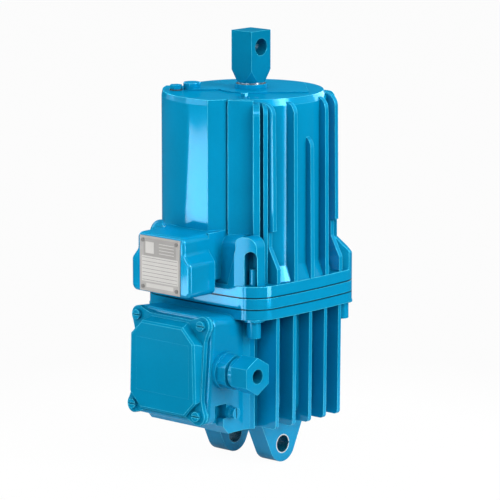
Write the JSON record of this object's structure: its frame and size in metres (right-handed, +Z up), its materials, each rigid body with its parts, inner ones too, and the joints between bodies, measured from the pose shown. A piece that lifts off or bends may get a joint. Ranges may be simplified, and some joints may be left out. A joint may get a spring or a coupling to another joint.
{
  "type": "electro-hydraulic thruster",
  "caption": "Electro-hydraulic thruster: finned motor housing with foot lugs and terminal box, ribbed upper housing and a piston rod with an eye that lifts when the pump runs.",
  "frame": {"origin": "on the foot pin axis, midway between the two foot lugs", "axes": "+Z up the piston rod, X along both pin axes, the terminal box and rating plate face -Y"},
  "size_m": [0.1657, 0.2003, 0.402],
  "materials": {
    "blue_paint": "glossy cyan-blue enamel over castings",
    "bright_steel": "ground bright steel",
    "plate_metal": "matt grey-beige plate with ruled lines",
    "bare_aluminium": "bare casting",
    "cast_iron": "honed",
    "lamination": "stacked laminations",
    "copper": "varnished copper wire",
    "brass": "turned",
    "black_rubber": "matt black",
    "board_plastic": "dark moulding"
  },
  "bodies": {
    "housing": {"motor_housing": "blue_paint", "upper_housing": "blue_paint", "bearing_plate": "blue_paint", "top_cover": "blue_paint", "terminal_lid": "blue_paint", "gland_body": "blue_paint", "gland_nut": "blue_paint", "flange_bolts": "blue_paint", "flange_washers": "blue_paint", "lid_screws": "blue_paint", "earth_screw": "blue_paint", "earth_washer": "blue_paint", "filler_plug": "blue_paint", "foot_bushes": "bright_steel", "lower_bearing_outer": "bright_steel", "upper_bearing_outer": "bright_steel", "nameplate_rivets": "bright_steel", "nameplate": "plate_metal", "diffuser_plate": "bare_aluminium", "cylinder_sleeve": "cast_iron", "stator_core": "lamination", "stator_windings": "copper", "rod_guide_bush": "brass", "terminal_studs": "brass", "rod_wiper_seal": "black_rubber", "shaft_seal": "black_rubber", "motor_o_ring": "black_rubber", "housing_o_ring": "black_rubber", "lid_gasket": "black_rubber", "gland_seal": "black_rubber", "filler_seal": "black_rubber", "terminal_board": "board_plastic"},
    "rotor": {"motor_shaft": "bright_steel", "rotor_core": "lamination", "rotor_end_rings": "bare_aluminium", "lower_bearing_inner": "bright_steel", "upper_bearing_inner": "bright_steel", "impeller": "bare_aluminium", "impeller_nut": "bright_steel"},
    "piston": {"piston": "bare_aluminium", "piston_ring": "cast_iron", "piston_nut": "bright_steel", "piston_rod": "bright_steel", "pressure_lug": "blue_paint"}
  },
  "joints": [
    {"name": "piston_stroke", "type": "slide", "parent": "housing", "child": "piston", "axis": [0, 0, 1], "range_m": [0, 0.05]},
    {"name": "rotor_spin", "type": "hinge", "parent": "housing", "child": "rotor", "pos_m": [0, 0, 0], "axis": [0, 0, 1], "continuous": true}
  ]
}
